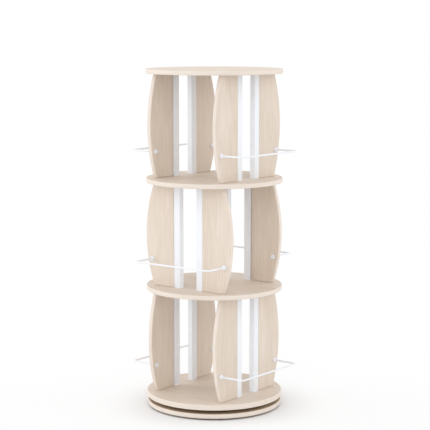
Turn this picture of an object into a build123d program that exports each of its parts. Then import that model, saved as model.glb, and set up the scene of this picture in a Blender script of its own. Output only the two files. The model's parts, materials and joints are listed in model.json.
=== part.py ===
from build123d import *
import os
from math import sqrt

os.makedirs("parts", exist_ok=True)

# A floor-standing revolving bookcase. Four round boards carry three tiers, each with two
# parallel walls, and the middle tier is turned a quarter. A wall is two bowed wooden
# panels on two white steel posts, with a wire book rail outside. The whole shelf turns
# on a ball-bearing ring over a fixed round base. The origin is on the floor, on the axis.

# Round boards and tiers
board_diameter = 450.0
board_thickness = 15.0
bottom_board_thickness = 18.0
board_edge_radius = 2.0
board_edge_crown = 1.0
tier_height = 341.0

# Fixed base and its feet
base_diameter = 444.0
base_thickness = 15.0
base_edge_radius = 2.0
base_edge_crown = 1.0
foot_diameter = 30.0
foot_height = 5.5
foot_edge_radius = 0.8
foot_inset = 32.0
foot_count = 6

# Bearing ring between base and bottom board
bearing_diameter = 190.0
ball_diameter = 6.0
ball_clearance = 0.3
ball_count = 24
cage_thickness = 2.0
cage_clearance = 0.5
cage_web = 1.0
cage_nip = 0.1
groove_lip = 1.2
ring_width = 16.0
ring_lift = 2.0
ring_screw_diameter = 4.0
ring_screw_head_diameter = 8.0
ring_screw_clearance = 0.2
ring_screw_bite = 10.0
ring_screw_count = 6
access_hole_diameter = 12.0

# Wall panels
wall_distance = 141.0
panel_thickness = 15.0
panel_bulge = 32.5
panel_edge_radius = 3.0

# Steel tube posts
post_width = 25.0
post_depth = 20.0
post_wall = 1.5
post_inner_radius = 0.8
post_recess = 1.0
post_gap = 67.0

# Post bolts, the threaded plugs that take them and the covers over their heads
bolt_diameter = 6.0
bolt_head_diameter = 12.0
bolt_head_height = 3.5
bolt_socket = 4.0
bolt_socket_depth = 2.0
bolt_thread = 14.0
bolt_clearance = 0.3
bolt_head_clearance = 0.5
plug_cover = 4.0
cover_thickness = 2.5

# Dowels between panels and boards
dowel_diameter = 6.0
dowel_panel_depth = 20.0
dowel_end_room = 0.5
dowel_skin = 1.0
dowel_shares = (0.19, 0.63)

# Book rails, the collars on their legs and the screws into the legs' ends
rod_diameter = 6.0
rail_height = 88.0
rail_reach = 87.0
rail_inset = 26.3
rail_bend_radius = 10.0
collar_diameter = 16.0
collar_length = 5.0
collar_edge_radius = 2.5
rail_screw_diameter = 3.0
rail_screw_clearance = 0.2
rail_screw_thread = 12.0
rail_screw_head_diameter = 16.0
rail_screw_head_height = 3.5
rail_screw_edge_radius = 2.5
rail_screw_socket = 4.0
rail_screw_socket_depth = 2.0

# Cuts that go right through run on by this much
overrun = 1.0

# Heights, from the floor up
ball_seat = ball_diameter / 2 + ball_clearance
ring_height = 2 * (ball_seat + groove_lip) + ring_lift
base_top = foot_height + base_thickness
ball_level = base_top + (ring_height + ring_lift) / 2
bottom_level = base_top + ring_height + ring_lift
tier_pitch = tier_height + board_thickness

# Bearing radii
ball_circle = bearing_diameter / 2
ring_spacing = cage_thickness + 2 * cage_clearance
outer_ring_middle = ball_circle + (ring_spacing + ring_width) / 2
inner_ring_middle = ball_circle - (ring_spacing + ring_width) / 2

# Places along a wall, from its middle, and distances from the axis
post_middle = (post_gap + post_width) / 2
post_distance = wall_distance - post_recess - post_depth / 2
bore_width = post_width - 2 * post_wall
bore_depth = post_depth - 2 * post_wall
panel_start = post_gap / 2 + post_width
panel_widest = sqrt((board_diameter / 2) ** 2 - wall_distance**2)
panel_end = panel_widest - panel_bulge
panel_distance = wall_distance - panel_thickness / 2
dowel_places = [panel_start + share * (panel_end - panel_start) for share in dowel_shares]
rail_leg = panel_widest - rail_inset
rail_spots = [(side * rail_leg, rail_height) for side in (-1, 1)]

# Depths into a board, from the face that meets the tier
bolt_recess = bolt_head_height + cover_thickness
bolt_seat = board_thickness - bolt_recess
bolt_recess_radius = bolt_head_diameter / 2 + bolt_head_clearance
dowel_board_depth = board_thickness / 2 - dowel_end_room - dowel_skin

# The tiers from the floor up: name, place in the stack and turn in degrees
tier_names = ("bottom", "middle", "top")
tier_turn_shares = (0, 0.25, 0)
tiers = [(name, order, 360 * tier_turn_shares[order]) for order, name in enumerate(tier_names)]

# The sides that a wall can face, a quarter turn apart
compass = ("right", "rear", "left", "front")


def save(piece, name):
    """Label a finished piece and write it under its name."""
    piece.part.label = name
    export_step(piece.part, f"parts/{name}.step")


def level_plane(turn, height, facing=1):
    """Level plane with local x along a turn, facing up (1) or down (-1)."""
    turned = Plane.XY.rotated((0, 0, turn))
    return Plane(origin=(0, 0, height), x_dir=turned.x_dir, z_dir=(0, 0, facing))


def wall_plane(angle, height, distance):
    """Upright plane that faces out of a wall, local x along the wall and local y up."""
    level = level_plane(angle, height)
    origin = level.from_local_coords((distance, 0, 0))
    return Plane(origin=origin, x_dir=level.y_dir, z_dir=level.x_dir)


def facing_side(angle):
    """Name of the side that lies at an angle."""
    return compass[round(angle / 90) % len(compass)]


def floor_level(order):
    """Height of a tier's floor, the upper face of the board that carries it."""
    return bottom_level + bottom_board_thickness + order * tier_pitch


def ceiling_level(order):
    """Height of a tier's ceiling, the lower face of the board above it."""
    return floor_level(order) + tier_height


def lower_end(order, turn):
    """Plane of a tier's floor that faces down into the board."""
    return level_plane(turn, floor_level(order), -1)


def upper_end(order, turn):
    """Plane of a tier's ceiling that faces up into the board."""
    return level_plane(turn, ceiling_level(order))


def bolt_grid():
    """The four post bolts of a tier's end."""
    return GridLocations(2 * post_distance, 2 * post_middle, 2, 2)


def dowel_grid(place):
    """Four dowels of a tier's end, one in each panel."""
    return GridLocations(2 * panel_distance, 2 * place, 2, 2)


def crowned_disc(diameter, level, thickness, crown, edge_radius):
    """Round blank of a board, with a slightly crowned rim and rounded edges."""
    lower_rim = (diameter / 2 - crown, level)
    upper_rim = (diameter / 2 - crown, level + thickness)
    with BuildPart() as disc:
        with BuildSketch(Plane.XZ) as profile:
            with BuildLine():
                Polyline(lower_rim, (0, level), (0, level + thickness), upper_rim)
                ThreePointArc(upper_rim, (diameter / 2, level + thickness / 2), lower_rim)
            make_face()
            fillet(profile.vertices().sort_by(Axis.X)[-2:], radius=edge_radius)
        revolve(axis=Axis.Z)
    return disc


# Base board, drilled for the outer ring's screws, with a hole to reach the inner ring's
base_blank = crowned_disc(
    base_diameter, foot_height, base_thickness, base_edge_crown, base_edge_radius
)
with BuildPart() as base_board:
    add(base_blank.part)
    with Locations(Plane.XY.offset(base_top)):
        with PolarLocations(outer_ring_middle, ring_screw_count):
            Hole(ring_screw_diameter / 2, ring_screw_bite)
        with Locations((inner_ring_middle, 0)):
            Hole(access_hole_diameter / 2, base_thickness + overrun)
save(base_board, "base_board")

# Rubber feet
with BuildPart() as base_feet:
    with BuildSketch():
        with PolarLocations(base_diameter / 2 - foot_inset, foot_count):
            Circle(foot_diameter / 2)
    extrude(amount=foot_height)
    fillet(base_feet.edges().group_by(Axis.Z)[0], radius=foot_edge_radius)
save(base_feet, "base_feet")


def bearing_ring(middle, bottom):
    """Bearing ring with the ball groove in the side that faces the balls."""
    with BuildPart() as ring:
        with BuildSketch(Plane.XZ):
            with Locations((middle, bottom + ring_height / 2)):
                Rectangle(ring_width, ring_height)
            with Locations((ball_circle, ball_level)):
                Circle(ball_seat, mode=Mode.SUBTRACT)
        revolve(axis=Axis.Z)
    return ring


def ring_screws(head_plane, circle):
    """Countersunk screws of a bearing ring, with their heads flush in its free face."""
    head_height = (ring_screw_head_diameter - ring_screw_diameter) / 2
    length = ring_height + ring_screw_bite
    downwards = (Align.CENTER, Align.CENTER, Align.MAX)
    with BuildPart() as screws:
        with Locations(head_plane):
            with PolarLocations(circle, ring_screw_count):
                Cylinder(ring_screw_diameter / 2, length, align=downwards)
                Cone(
                    ring_screw_diameter / 2,
                    ring_screw_head_diameter / 2,
                    head_height,
                    align=downwards,
                )
    return screws


def drill_ring(head_plane, circle):
    """Countersunk screw holes through the ring that is being built."""
    with Locations(head_plane):
        with PolarLocations(circle, ring_screw_count):
            CounterSinkHole(
                ring_screw_diameter / 2 + ring_screw_clearance,
                ring_screw_head_diameter / 2,
                ring_height + overrun,
                counter_sink_angle=90,
            )


# Outer bearing ring, on the base
outer_head_plane = Plane.XY.offset(base_top + ring_height)
with BuildPart() as bearing_outer_ring:
    add(bearing_ring(outer_ring_middle, base_top).part)
    drill_ring(outer_head_plane, outer_ring_middle)
save(bearing_outer_ring, "bearing_outer_ring")
save(ring_screws(outer_head_plane, outer_ring_middle), "base_ring_screws")

# Inner bearing ring, under the bottom board
inner_head_plane = level_plane(0, bottom_level - ring_height, -1)
with BuildPart() as bearing_inner_ring:
    add(bearing_ring(inner_ring_middle, bottom_level - ring_height).part)
    drill_ring(inner_head_plane, inner_ring_middle)
save(bearing_inner_ring, "bearing_inner_ring")
save(ring_screws(inner_head_plane, inner_ring_middle), "board_ring_screws")

# Bearing balls
with BuildPart() as bearing_balls:
    with Locations(Plane.XY.offset(ball_level)):
        with PolarLocations(ball_circle, ball_count):
            Sphere(ball_diameter / 2)
save(bearing_balls, "bearing_balls")

# Cage ring, with a pocket that nips each ball
cage_height = ball_diameter + 2 * cage_web
with BuildPart() as bearing_cage:
    with BuildSketch(Plane.XY.offset(ball_level - cage_height / 2)):
        Circle(ball_circle + cage_thickness / 2)
        Circle(ball_circle - cage_thickness / 2, mode=Mode.SUBTRACT)
    extrude(amount=cage_height)
    with Locations(Plane.XY.offset(ball_level)):
        with PolarLocations(ball_circle, ball_count):
            Cylinder(
                (ball_diameter - cage_nip) / 2,
                cage_thickness + 2 * overrun,
                rotation=(0, 90, 0),
                mode=Mode.SUBTRACT,
            )
save(bearing_cage, "bearing_cage")


def round_board(level, thickness, ends):
    """Round board, drilled for the bolts and dowels of the tier ends that meet it."""
    blank = crowned_disc(board_diameter, level, thickness, board_edge_crown, board_edge_radius)
    with BuildPart() as board:
        add(blank.part)
        for end in ends:
            with Locations(end.offset(thickness)):
                with bolt_grid():
                    CounterBoreHole(
                        bolt_diameter / 2 + bolt_clearance,
                        bolt_recess_radius,
                        thickness - bolt_seat,
                        thickness + overrun,
                    )
            for place in dowel_places:
                with BuildSketch(end):
                    with dowel_grid(place):
                        Circle(dowel_diameter / 2)
                extrude(amount=dowel_board_depth + dowel_end_room, mode=Mode.SUBTRACT)
    return board


# Bottom board, also drilled from below for the inner ring's screws
bottom_tier, middle_tier, top_tier = [(order, turn) for _, order, turn in tiers]
with BuildPart() as bottom_board:
    add(round_board(bottom_level, bottom_board_thickness, [lower_end(*bottom_tier)]).part)
    with Locations(level_plane(0, bottom_level, -1)):
        with PolarLocations(inner_ring_middle, ring_screw_count):
            Hole(ring_screw_diameter / 2, ring_screw_bite)
save(bottom_board, "bottom_board")

# Two shelves and the top board
lower_shelf_ends = [upper_end(*bottom_tier), lower_end(*middle_tier)]
save(round_board(ceiling_level(0), board_thickness, lower_shelf_ends), "lower_shelf")
upper_shelf_ends = [upper_end(*middle_tier), lower_end(*top_tier)]
save(round_board(ceiling_level(1), board_thickness, upper_shelf_ends), "upper_shelf")
save(round_board(ceiling_level(2), board_thickness, [upper_end(*top_tier)]), "top_board")

# Flush wooden covers over the bolt heads that face up
with BuildPart() as bolt_covers:
    for _, order, turn in tiers:
        with BuildSketch(upper_end(order, turn).offset(board_thickness)):
            with bolt_grid():
                Circle(bolt_recess_radius)
        extrude(amount=-cover_thickness)
save(bolt_covers, "bolt_covers")


def wall_panel(angle, side, floor):
    """Wooden panel with rounded edges: straight along its post, bowed out to the boards' rims."""
    with BuildPart() as panel:
        with BuildSketch(wall_plane(angle, floor, wall_distance)):
            with BuildLine():
                Polyline(
                    (side * panel_end, 0),
                    (side * panel_start, 0),
                    (side * panel_start, tier_height),
                    (side * panel_end, tier_height),
                )
                ThreePointArc(
                    (side * panel_end, tier_height),
                    (side * panel_widest, tier_height / 2),
                    (side * panel_end, 0),
                )
            make_face()
        extrude(amount=-panel_thickness)
        fillet(panel.edges(), radius=panel_edge_radius)
        for height, upwards in ((floor, 1), (floor + tier_height, -1)):
            with BuildSketch(level_plane(angle, height)):
                with Locations(*[(panel_distance, side * place) for place in dowel_places]):
                    Circle(dowel_diameter / 2)
            extrude(amount=upwards * (dowel_panel_depth + dowel_end_room), mode=Mode.SUBTRACT)
        with BuildSketch(wall_plane(angle, floor, wall_distance)):
            with Locations((side * rail_leg, rail_height)):
                Circle(rail_screw_diameter / 2 + rail_screw_clearance)
        extrude(amount=-panel_thickness, mode=Mode.SUBTRACT)
    return panel


def tube_post(angle, side, floor):
    """Rectangular steel tube from board to board."""
    with BuildPart() as post:
        with BuildSketch(level_plane(angle, floor)):
            with Locations((post_distance, side * post_middle)):
                RectangleRounded(post_depth, post_width, post_inner_radius + post_wall)
                RectangleRounded(bore_depth, bore_width, post_inner_radius, mode=Mode.SUBTRACT)
        extrude(amount=tier_height)
    return post


def book_rail(angle, floor):
    """Bent wire rail: two legs square to the wall, tapped at their ends, and a bar along it."""
    bar = wall_distance + rail_reach
    with BuildPart() as rail:
        with BuildLine(level_plane(angle, floor + rail_height)) as route:
            FilletPolyline(
                (wall_distance, -rail_leg),
                (bar, -rail_leg),
                (bar, rail_leg),
                (wall_distance, rail_leg),
                radius=rail_bend_radius,
            )
        with BuildSketch(Plane(origin=route.wire() @ 0, z_dir=route.wire() % 0)):
            Circle(rod_diameter / 2)
        sweep()
        with BuildSketch(wall_plane(angle, floor, wall_distance)):
            with Locations(*rail_spots):
                Circle(rail_screw_diameter / 2)
        extrude(amount=rail_screw_thread, mode=Mode.SUBTRACT)
    return rail


# Walls: panels, posts and rail
for tier, order, turn in tiers:
    for angle in (turn, turn + 180):
        wall = f"{tier}_{facing_side(angle)}"
        for side in (-1, 1):
            name = f"{wall}_{facing_side(angle + 90 * side)}"
            save(wall_panel(angle, side, floor_level(order)), f"{name}_panel")
            save(tube_post(angle, side, floor_level(order)), f"{name}_post")
        save(book_rail(angle, floor_level(order)), f"{wall}_rail")

# Fasteners of each tier
for tier, order, turn in tiers:
    ends = [lower_end(order, turn), upper_end(order, turn)]

    # Threaded plugs in the tube ends
    with BuildPart() as post_plugs:
        for end in ends:
            with BuildSketch(end):
                with bolt_grid():
                    RectangleRounded(bore_depth, bore_width, post_inner_radius)
                    Circle(bolt_diameter / 2, mode=Mode.SUBTRACT)
            extrude(amount=-(bolt_thread + plug_cover))
    save(post_plugs, f"{tier}_post_plugs")

    # Bolts through the boards into the plugs
    with BuildPart() as post_bolts:
        for end in ends:
            with BuildSketch(end.offset(-bolt_thread)):
                with bolt_grid():
                    Circle(bolt_diameter / 2)
            extrude(amount=bolt_thread + bolt_seat)
            with BuildSketch(end.offset(bolt_seat)):
                with bolt_grid():
                    Circle(bolt_head_diameter / 2)
            extrude(amount=bolt_head_height)
            with BuildSketch(end.offset(bolt_seat + bolt_head_height)):
                with bolt_grid():
                    RegularPolygon(bolt_socket / 2, 6, major_radius=False)
            extrude(amount=-bolt_socket_depth, mode=Mode.SUBTRACT)
    save(post_bolts, f"{tier}_post_bolts")

    # Dowels, half in the panel and half in the board
    with BuildPart() as panel_dowels:
        for end in ends:
            for place in dowel_places:
                with BuildSketch(end.offset(-dowel_panel_depth)):
                    with dowel_grid(place):
                        Circle(dowel_diameter / 2)
                extrude(amount=dowel_panel_depth + dowel_board_depth)
    save(panel_dowels, f"{tier}_panel_dowels")

    # Collars round the rail's legs, on the walls' outer faces
    with BuildPart() as rail_collars:
        for angle in (turn, turn + 180):
            outer_face = wall_plane(angle, floor_level(order), wall_distance)
            outwards = Axis(outer_face.origin, outer_face.z_dir)
            with BuildSketch(outer_face):
                with Locations(*rail_spots):
                    Circle(collar_diameter / 2)
            extrude(amount=collar_length)
            rims = rail_collars.edges(Select.LAST).group_by(outwards)[-1]
            fillet(rims, radius=collar_edge_radius)
            with BuildSketch(outer_face):
                with Locations(*rail_spots):
                    Circle(rod_diameter / 2)
            extrude(amount=collar_length, mode=Mode.SUBTRACT)
    save(rail_collars, f"{tier}_rail_collars")

    # Round-headed screws from inside the walls into the rail's legs
    with BuildPart() as rail_screws:
        for angle in (turn, turn + 180):
            inner_face = wall_plane(angle, floor_level(order), wall_distance - panel_thickness)
            outwards = Axis(inner_face.origin, inner_face.z_dir)
            with BuildSketch(inner_face):
                with Locations(*rail_spots):
                    Circle(rail_screw_head_diameter / 2)
            extrude(amount=-rail_screw_head_height)
            rims = rail_screws.edges(Select.LAST).group_by(outwards)[0]
            fillet(rims, radius=rail_screw_edge_radius)
            with BuildSketch(inner_face):
                with Locations(*rail_spots):
                    Circle(rail_screw_diameter / 2)
            extrude(amount=panel_thickness + rail_screw_thread)
            with BuildSketch(inner_face.offset(-rail_screw_head_height)):
                with Locations(*rail_spots):
                    RegularPolygon(rail_screw_socket / 2, 6, major_radius=False)
            extrude(amount=rail_screw_socket_depth, mode=Mode.SUBTRACT)
    save(rail_screws, f"{tier}_rail_screws")
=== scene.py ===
import json
from math import cos, radians, sin, tan

import bpy
from mathutils import Color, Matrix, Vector


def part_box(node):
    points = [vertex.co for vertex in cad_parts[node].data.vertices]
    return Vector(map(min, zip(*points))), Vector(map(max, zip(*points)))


# A floor-standing revolving bookcase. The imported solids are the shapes: this script gives
# them their finishes and sets up the floor, the light and the camera. Lengths are metres.
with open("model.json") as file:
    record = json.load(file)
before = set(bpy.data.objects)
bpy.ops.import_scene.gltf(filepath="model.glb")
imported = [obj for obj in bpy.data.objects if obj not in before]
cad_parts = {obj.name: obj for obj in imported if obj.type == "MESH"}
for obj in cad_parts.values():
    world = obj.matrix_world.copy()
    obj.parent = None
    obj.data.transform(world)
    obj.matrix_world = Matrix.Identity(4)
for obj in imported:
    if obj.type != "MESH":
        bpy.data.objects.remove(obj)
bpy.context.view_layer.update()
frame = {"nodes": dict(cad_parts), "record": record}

# Camera: where it stands, seen from the axis of the bookcase, and what it looks at, with its
# lens and sensor in millimetres
camera_azimuth = radians(37.5)
camera_distance = 4.721
camera_height = 1.273
camera_tilt = radians(7.67)
camera_side_step = 0.0023
lens = 120.6
sensor_width = 36.0

# Light: an even surround and three large soft lamps, each with its azimuth from the front
# towards the right, its height and its strength
surround_strength = 1.0
lamp_spread = radians(60)
lamps = {
    "left_lamp": (radians(-60), radians(12), 1.1),
    "front_lamp": (radians(37), radians(12), 0.45),
    "right_lamp": (radians(130), radians(12), 0.6),
}

# Floor: half its side, its colour, and how much of the photographic white shows over it,
# from none under the base to its full share a little way out
floor_reach = 200.0
floor_colour = (0.88, 0.88, 0.88, 1.0)
# Less white shows round the base, so the floor there is darker: painted shade, over the real
# shadow that the floor keeps
floor_white_share = 0.7
floor_white_run = 0.18
white = (1.0, 1.0, 1.0, 1.0)

# The faces at the bearing and under the base get painted shade in darker browns, to this far
# round their edges
painted_shade_margin = 0.0002

# Wood goes from its edges' tint to its faces' as the surface comes to face squarely out, which
# is 1, between these two
edge_facing = 0.35
face_facing = 0.95

# Year rings: radians for each metre across the grain, and how far they shift the tone
ring_rate = 520.0
ring_strength = 0.05

# Pores: the noise at which they start and are full, and how far they shift the tone
pore_start = 0.14
pore_full = 0.24
pore_strength = -0.3

# Turning marks: their length, as metres of noise for each radian round the axis
mark_run = 0.01

# Middle of the noise nodes' range, and of a share
middle_share = 0.5


def colour(red, green, blue):
    """Shader colour from 8-bit sRGB values."""
    shown = Color((red / 255, green / 255, blue / 255))
    return (*shown.from_srgb_to_scene_linear(), 1.0)


# Colours of the finishes
face_light = colour(227, 215, 203)
face_dark = colour(204, 189, 173)
edge_light = colour(230, 219, 209)
edge_dark = colour(215, 203, 191)
# Painted shade: darker browns on the base's top in the bearing gap, and on the undersides of the
# base and of the bottom board
gap_shade_light = colour(226, 204, 174)
gap_shade_dark = colour(203, 178, 146)
underside_shade_light = colour(150, 122, 92)
underside_shade_dark = colour(122, 96, 70)
cover_light = colour(222, 208, 193)
cover_dark = colour(196, 178, 158)
dowel_light = colour(222, 196, 160)
dowel_dark = colour(196, 165, 126)
coat_light = colour(233, 235, 240)
coat_dark = colour(227, 230, 234)
steel_light = colour(200, 200, 200)
steel_dark = colour(160, 160, 162)
plastic_light = colour(58, 58, 59)
plastic_dark = colour(44, 44, 45)
rubber_light = colour(48, 48, 48)
rubber_dark = colour(34, 34, 35)


class Graph:
    """Node tree of one material, with short calls for the nodes that the finishes use."""

    def __init__(self, name):
        self.material = bpy.data.materials.new(name)
        self.material.use_nodes = True
        self.nodes = self.material.node_tree.nodes
        self.links = self.material.node_tree.links
        self.surface = self.nodes["Principled BSDF"]
        coordinates = self.nodes.new("ShaderNodeTexCoord")
        self.place = coordinates.outputs["Object"]
        self.facing = coordinates.outputs["Normal"]

    def feed(self, socket, value):
        """Link a socket to a value that varies, or set it to one that doesn't."""
        if isinstance(value, bpy.types.NodeSocket):
            self.links.new(value, socket)
        else:
            socket.default_value = value

    def math(self, operation, *values):
        """Result of a sum on numbers."""
        node = self.nodes.new("ShaderNodeMath")
        node.operation = operation
        for socket, value in zip(node.inputs, values):
            self.feed(socket, value)
        return node.outputs[0]

    def total(self, *values):
        """Sum of several values."""
        result = values[0]
        for value in values[1:]:
            result = self.math("ADD", result, value)
        return result

    def vary(self, value, middle, swing):
        """Middle number, shifted by a value about zero times a swing."""
        return self.math("MULTIPLY_ADD", value, swing, middle)

    def split(self, vector):
        """The three parts of a vector."""
        node = self.nodes.new("ShaderNodeSeparateXYZ")
        self.feed(node.inputs[0], vector)
        return node.outputs

    def join(self, *parts):
        """Vector from its three parts."""
        node = self.nodes.new("ShaderNodeCombineXYZ")
        for socket, part in zip(node.inputs, parts):
            self.feed(socket, part)
        return node.outputs[0]

    def from_axis(self, x, y):
        """Distance from the axis of the bookcase."""
        squares = self.total(self.math("MULTIPLY", x, x), self.math("MULTIPLY", y, y))
        return self.math("SQRT", squares)

    def noise(self, vector, scale, detail):
        """Cloudy noise about zero."""
        node = self.nodes.new("ShaderNodeTexNoise")
        self.feed(node.inputs["Vector"], vector)
        node.inputs["Scale"].default_value = scale
        node.inputs["Detail"].default_value = detail
        return self.math("SUBTRACT", node.outputs[0], middle_share)

    def ramp(self, value, low, high):
        """Smooth step of a value from 0 at low to 1 at high."""
        node = self.nodes.new("ShaderNodeMapRange")
        node.interpolation_type = "SMOOTHSTEP"
        self.feed(node.inputs["Value"], value)
        node.inputs["From Min"].default_value = low
        node.inputs["From Max"].default_value = high
        return node.outputs[0]

    def blend(self, share, first, second):
        """Number between two, by a share that varies: inputs 2 and 3 of the node."""
        node = self.nodes.new("ShaderNodeMix")
        self.feed(node.inputs[0], share)
        self.feed(node.inputs[2], first)
        self.feed(node.inputs[3], second)
        return node.outputs[0]

    def mix(self, share, first, second):
        """Colour between two, by a share that varies: inputs 6 and 7 of the node."""
        node = self.nodes.new("ShaderNodeMix")
        node.data_type = "RGBA"
        self.feed(node.inputs[0], share)
        self.feed(node.inputs[6], first)
        self.feed(node.inputs[7], second)
        return node.outputs[2]

    def tint(self, tone, dark, light):
        """Colour from dark to light, by a tone about zero."""
        return self.mix(self.math("ADD", tone, middle_share), dark, light)

    def bump(self, height, depth):
        """Relief of the surface, from a height of about one and its real depth."""
        node = self.nodes.new("ShaderNodeBump")
        self.feed(node.inputs["Height"], height)
        node.inputs["Distance"].default_value = depth
        self.links.new(node.outputs[0], self.surface.inputs["Normal"])

    def finish(self, tint, roughness, specular=0.5, metallic=0.0):
        """Set the look of the surface, and hand over the material."""
        self.feed(self.surface.inputs["Base Color"], tint)
        self.feed(self.surface.inputs["Roughness"], roughness)
        self.surface.inputs["Specular IOR Level"].default_value = specular
        self.surface.inputs["Metallic"].default_value = metallic
        return self.material


def grain(graph, along, across, depth):
    """Tone of pale wood, about zero, and its relief, for a place along and across the grain."""
    def layer(scale, stretch, detail, strength):
        """Noise that is drawn out along the grain."""
        drawn_out = graph.join(graph.math("DIVIDE", along, stretch), across, depth)
        return graph.math("MULTIPLY", graph.noise(drawn_out, scale, detail), strength)

    bands = layer(scale=12.0, stretch=4.0, detail=2.0, strength=0.7)
    mottle = layer(scale=60.0, stretch=5.0, detail=3.0, strength=0.5)
    streaks = layer(scale=190.0, stretch=22.0, detail=3.0, strength=0.7)
    fibres = layer(scale=900.0, stretch=50.0, detail=2.0, strength=0.8)
    wander = layer(scale=7.0, stretch=5.0, detail=2.0, strength=9.0)
    pores = layer(scale=1300.0, stretch=22.0, detail=1.0, strength=1.0)
    rings = graph.math("SINE", graph.total(graph.math("MULTIPLY", across, ring_rate), wander))
    figure = graph.math("MULTIPLY", rings, ring_strength)
    flecks = graph.math("MULTIPLY", graph.ramp(pores, pore_start, pore_full), pore_strength)
    tone = graph.total(bands, mottle, streaks, fibres, figure, flecks)
    relief = graph.total(fibres, flecks)
    return tone, relief


def satin_wood(graph, tint, tone, relief):
    """Satin lacquer over wood: slightly uneven gloss and a fine open grain."""
    graph.bump(relief, depth=0.00006)
    roughness = graph.vary(tone, middle=0.52, swing=-0.12)
    return graph.finish(tint, roughness, specular=0.25)


def board_finish():
    """Round board: straight grain on its faces, a lighter edge, and painted shade in darker
    browns at the bearing and under the base.
    """
    graph = Graph("board_wood_finish")
    x, y, z = graph.split(graph.place)
    low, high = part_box("upper_shelf")
    radius = (high.x - low.x) / 2
    round_edge = graph.math("MULTIPLY", graph.math("ARCTAN2", y, x), radius)
    face_tone, face_relief = grain(graph, x, y, z)
    edge_tone, edge_relief = grain(graph, round_edge, z, 0.0)
    level = graph.math("ABSOLUTE", graph.split(graph.facing)[2])
    on_face = graph.ramp(level, edge_facing, face_facing)
    tone = graph.blend(on_face, edge_tone, face_tone)
    relief = graph.blend(on_face, edge_relief, face_relief)
    edge_tint = graph.tint(edge_tone, edge_dark, edge_light)
    face_tint = graph.tint(face_tone, face_dark, face_light)
    tint = graph.mix(on_face, edge_tint, face_tint)
    # Painted shade: the faces in the bearing gap and under the base are drawn in darker browns,
    # mottled by noise
    shade_mottle = graph.vary(
        graph.noise(graph.place, scale=300.0, detail=3.0), middle=middle_share, swing=2.0
    )
    base_low, base_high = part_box("base_board")
    bottom_low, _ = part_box("bottom_board")
    for corner, dark, light in (
        (base_high, gap_shade_dark, gap_shade_light),
        (base_low, underside_shade_dark, underside_shade_light),
        (bottom_low, underside_shade_dark, underside_shade_light),
    ):
        painted_shade = graph.math("COMPARE", z, corner.z, painted_shade_margin)
        tint = graph.mix(painted_shade, tint, graph.mix(shade_mottle, dark, light))
    return satin_wood(graph, tint, tone, relief)


def panel_finish(name, wall_axis):
    """Wall panel: upright grain, lighter on the rounded edge."""
    graph = Graph(name)
    x, y, z = graph.split(graph.place)
    tone, relief = grain(graph, z, x, y)
    square_on = graph.math("ABSOLUTE", graph.split(graph.facing)[wall_axis])
    on_face = graph.ramp(square_on, edge_facing, face_facing)
    edge_tint = graph.tint(tone, edge_dark, edge_light)
    face_tint = graph.tint(tone, face_dark, face_light)
    return satin_wood(graph, graph.mix(on_face, edge_tint, face_tint), tone, relief)


def plain_wood_finish(name, dark, light):
    """Small turned piece of wood, with the grain across the boards'."""
    graph = Graph(name)
    x, y, z = graph.split(graph.place)
    tone, relief = grain(graph, y, x, z)
    return satin_wood(graph, graph.tint(tone, dark, light), tone, relief)


def white_coat_finish(name):
    """White powder coat on steel: a fine orange peel and a slight unevenness."""
    graph = Graph(name)
    peel = graph.noise(graph.place, scale=700.0, detail=2.0)
    cloud = graph.noise(graph.place, scale=40.0, detail=3.0)
    graph.bump(peel, depth=0.00004)
    roughness = graph.vary(cloud, middle=0.38, swing=0.15)
    return graph.finish(graph.tint(cloud, coat_dark, coat_light), roughness, specular=0.3)


def turned_steel_finish(name):
    """Bare steel with fine marks from turning about the axis."""
    graph = Graph(name)
    x, y, z = graph.split(graph.place)
    turn = graph.math("MULTIPLY", graph.math("ARCTAN2", y, x), mark_run)
    drawn_round = graph.join(graph.from_axis(x, y), z, turn)
    marks = graph.noise(drawn_round, scale=2500.0, detail=2.0)
    graph.bump(marks, depth=0.00002)
    roughness = graph.vary(marks, middle=0.3, swing=0.2)
    return graph.finish(graph.tint(marks, steel_dark, steel_light), roughness, metallic=1.0)


def moulded_finish(name, dark, light, roughness, pebble_scale):
    """Moulded plastic or rubber with a fine matt texture."""
    graph = Graph(name)
    pebbles = graph.noise(graph.place, pebble_scale, detail=2.0)
    graph.bump(pebbles, depth=0.00005)
    uneven = graph.vary(pebbles, middle=roughness, swing=0.15)
    return graph.finish(graph.tint(pebbles, dark, light), uneven)


# Finishes by material slot, and the panels' by the axis that their wall faces along
panel_finishes = [panel_finish("panel_wood_finish_x", 0), panel_finish("panel_wood_finish_y", 1)]
finishes = {
    "board_wood": board_finish(),
    "cover_wood": plain_wood_finish("cover_wood_finish", cover_dark, cover_light),
    "dowel_wood": plain_wood_finish("dowel_wood_finish", dowel_dark, dowel_light),
    "white_steel": white_coat_finish("white_steel_finish"),
    "bearing_steel": turned_steel_finish("bearing_steel_finish"),
    "fastener_steel": turned_steel_finish("fastener_steel_finish"),
    "cage_plastic": moulded_finish(
        "cage_plastic_finish", plastic_dark, plastic_light, roughness=0.55, pebble_scale=900.0
    ),
    "foot_rubber": moulded_finish(
        "foot_rubber_finish", rubber_dark, rubber_light, roughness=0.75, pebble_scale=600.0
    ),
}

for subpart in frame["record"]["subparts"]:
    node = subpart["node"]
    piece = frame["nodes"][node]
    if subpart["material_slot"] == "panel_wood":
        low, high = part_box(node)
        thin_axis = 0 if high.x - low.x < high.y - low.y else 1
        finish = panel_finishes[thin_axis]
    else:
        finish = finishes[subpart["material_slot"]]
    piece.data.materials.clear()
    piece.data.materials.append(finish)


def seen_directly(tree):
    """Share that is 1 for rays from the camera, and for those that a gloss or glass sends on."""
    path = tree.nodes.new("ShaderNodeLightPath")
    share = path.outputs["Is Camera Ray"]
    for name in ("Is Glossy Ray", "Is Transmission Ray"):
        either = tree.nodes.new("ShaderNodeMath")
        either.operation = "MAXIMUM"
        tree.links.new(share, either.inputs[0])
        tree.links.new(path.outputs[name], either.inputs[1])
        share = either.outputs[0]
    return share


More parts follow.
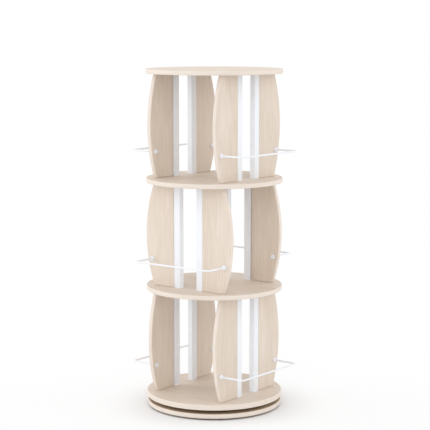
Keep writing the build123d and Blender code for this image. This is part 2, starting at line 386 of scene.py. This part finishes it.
def lay_floor():
    """Wide pale floor that keeps the shadow and fades into the white surround."""
    reach = floor_reach
    mesh = bpy.data.meshes.new("floor")
    corners = [(-reach, -reach, 0), (reach, -reach, 0), (reach, reach, 0), (-reach, reach, 0)]
    mesh.from_pydata(corners, [], [(0, 1, 2, 3)])
    floor = bpy.data.objects.new("floor", mesh)
    bpy.context.scene.collection.objects.link(floor)
    graph = Graph("floor_finish")
    tree = graph.material.node_tree
    tree.nodes.remove(graph.surface)
    matt = tree.nodes.new("ShaderNodeBsdfDiffuse")
    matt.inputs["Color"].default_value = floor_colour
    shown_white = tree.nodes.new("ShaderNodeEmission")
    shown_white.inputs["Color"].default_value = white
    base_low, base_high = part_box("base_board")
    base_radius = (base_high.x - base_low.x) / 2
    x, y, _ = graph.split(graph.place)
    # Less white shows near the base, so the floor darkens there: painted shade, over the real
    # shadow that the floor keeps
    clear_of_base = graph.ramp(graph.from_axis(x, y), base_radius, base_radius + floor_white_run)
    whiteness = graph.math("MULTIPLY", clear_of_base, floor_white_share)
    whitened = tree.nodes.new("ShaderNodeMixShader")
    graph.feed(whitened.inputs[0], graph.math("MULTIPLY", whiteness, seen_directly(tree)))
    tree.links.new(matt.outputs[0], whitened.inputs[1])
    tree.links.new(shown_white.outputs[0], whitened.inputs[2])
    tree.links.new(whitened.outputs[0], tree.nodes["Material Output"].inputs["Surface"])
    mesh.materials.append(graph.material)


def light_surround():
    """Even white world: a plain level of light, and white where it is seen directly."""
    world = bpy.data.worlds.new("surround")
    world.use_nodes = True
    tree = world.node_tree
    lit = tree.nodes["Background"]
    lit.inputs["Color"].default_value = white
    lit.inputs["Strength"].default_value = surround_strength
    seen = tree.nodes.new("ShaderNodeBackground")
    seen.inputs["Color"].default_value = white
    chosen = tree.nodes.new("ShaderNodeMixShader")
    tree.links.new(seen_directly(tree), chosen.inputs[0])
    tree.links.new(lit.outputs[0], chosen.inputs[1])
    tree.links.new(seen.outputs[0], chosen.inputs[2])
    tree.links.new(chosen.outputs[0], tree.nodes["World Output"].inputs["Surface"])
    bpy.context.scene.world = world


def heading(azimuth):
    """Level direction of an azimuth, measured from the front towards the right."""
    return Vector((sin(azimuth), -cos(azimuth), 0))


def hang_lamp(name, azimuth, height, strength):
    """Soft distant lamp."""
    lamp = bpy.data.lights.new(name, "SUN")
    lamp.energy = strength
    lamp.angle = lamp_spread
    holder = bpy.data.objects.new(name, lamp)
    towards = heading(azimuth) * cos(height) + Vector((0, 0, sin(height)))
    holder.rotation_euler = towards.to_track_quat("Z", "Y").to_euler()
    bpy.context.scene.collection.objects.link(holder)


def stand_camera():
    """Camera at the photograph's place and angle."""
    camera = bpy.data.cameras.new("camera")
    camera.sensor_width = sensor_width
    camera.lens = lens
    holder = bpy.data.objects.new("camera", camera)
    out = heading(camera_azimuth)
    right = Vector((cos(camera_azimuth), sin(camera_azimuth), 0))
    holder.location = out * camera_distance + Vector((0, 0, camera_height))
    drop = camera_distance * tan(camera_tilt)
    target = right * camera_side_step + Vector((0, 0, camera_height - drop))
    holder.rotation_euler = (target - holder.location).to_track_quat("-Z", "Y").to_euler()
    bpy.context.scene.collection.objects.link(holder)
    bpy.context.scene.camera = holder


lay_floor()
light_surround()
for name, (azimuth, height, strength) in lamps.items():
    hang_lamp(name, azimuth, height, strength)
stand_camera()
bpy.context.scene.view_settings.view_transform = "Standard"
